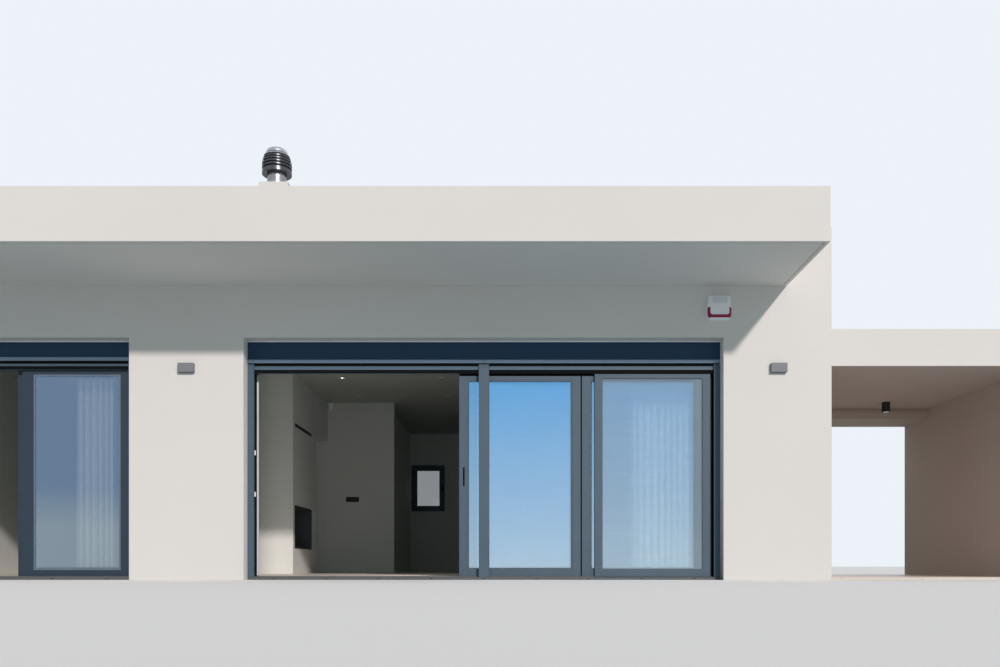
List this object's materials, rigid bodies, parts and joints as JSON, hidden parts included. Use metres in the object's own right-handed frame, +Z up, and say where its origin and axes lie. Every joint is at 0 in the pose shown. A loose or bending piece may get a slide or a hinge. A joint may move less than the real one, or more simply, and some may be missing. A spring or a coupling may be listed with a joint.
{
  "type": "single-storey beach house",
  "caption": "White flat-roofed house with a deep canopy, sliding glass doors to the front, a chimney and an open veranda bay.",
  "frame": {"origin": "middle of the overall plan, at ground level", "axes": "+X along the front to the veranda, +Y from the front to the back, +Z up"},
  "size_m": [13.872, 11.272, 6.549],
  "materials": {
    "white_render": "fine trowelled white render",
    "screed": "polished cement floor",
    "inner_plaster": "smooth painted plaster",
    "stainless": "brushed stainless steel",
    "black_metal": "matt black powder coat",
    "frame_metal": "anthracite powder-coated aluminium",
    "shutter_metal": "dark powder-coated aluminium",
    "mesh": "fine grey insect mesh",
    "lamp_metal": "grey powder coat",
    "white_plastic": "white moulded plastic",
    "red_lens": "dark red translucent plastic",
    "white_metal": "white lacquer",
    "curtain_cloth": "sheer pale linen",
    "glazing": "tinted solar-control double glazing"
  },
  "bodies": {
    "house": {"floor_slabs": "screed", "front_wall_piers": "white_render", "front_wall_head": "white_render", "side_walls": "white_render", "back_wall_base": "white_render", "back_wall_piers": "white_render", "back_wall_head": "white_render", "ceiling": "inner_plaster", "roof_slab": "white_render", "roof_upstands": "white_render", "roof_parapet": "white_render", "chimney_stack": "white_render", "chimney_cowl": "stainless", "bedroom_wall": "inner_plaster", "passage_head": "inner_plaster", "chimney_breast": "inner_plaster", "fireplace_frame": "black_metal", "service_wall": "inner_plaster", "door_sills": "frame_metal", "door_jambs": "frame_metal", "door_heads": "frame_metal", "shutter_boxes": "shutter_metal", "shutter_guides": "frame_metal", "shutter_end_slats": "shutter_metal", "inner_right_sash": "frame_metal", "inner_right_glass": "glazing", "back_window_frames": "frame_metal", "back_window_panes": "glazing", "back_door": "frame_metal", "wall_lamps": "lamp_metal", "alarm_sounder": "white_plastic", "sounder_lens": "red_lens", "downlights": "white_metal", "veranda_wall": "white_render", "veranda_roof": "white_render", "veranda_beam": "white_render", "veranda_spot": "black_metal", "curtain_rails": "white_metal", "living_curtain": "curtain_cloth", "bedroom_curtain": "curtain_cloth"},
    "outer_left": {"outer_left_sash": "frame_metal", "outer_left_glass": "glazing", "outer_left_handle": "black_metal"},
    "inner_left": {"inner_left_sash": "frame_metal", "inner_left_glass": "glazing"},
    "outer_right": {"outer_right_sash": "frame_metal", "outer_right_glass": "glazing"},
    "screen": {"screen_frame": "frame_metal", "screen_mesh": "mesh"},
    "bedroom_outer": {"bedroom_outer_sash": "frame_metal", "bedroom_outer_glass": "glazing"},
    "bedroom_inner": {"bedroom_inner_sash": "frame_metal", "bedroom_inner_glass": "glazing"}
  },
  "joints": [
    {"name": "outer_left_slide", "type": "slide", "parent": "house", "child": "outer_left", "axis": [1, 0, 0], "range_m": [-2.298, 0.006]},
    {"name": "inner_left_slide", "type": "slide", "parent": "house", "child": "inner_left", "axis": [1, 0, 0], "range_m": [-2.388, 0.025]},
    {"name": "outer_right_slide", "type": "slide", "parent": "house", "child": "outer_right", "axis": [1, 0, 0], "range_m": [0, 0.112]},
    {"name": "screen_slide", "type": "slide", "parent": "house", "child": "screen", "axis": [1, 0, 0], "range_m": [-3.82, 0.04]},
    {"name": "bedroom_outer_slide", "type": "slide", "parent": "house", "child": "bedroom_outer", "axis": [1, 0, 0], "range_m": [-1.112, 0]},
    {"name": "bedroom_inner_slide", "type": "slide", "parent": "house", "child": "bedroom_inner", "axis": [1, 0, 0], "range_m": [-1.034, 0.078]}
  ]
}
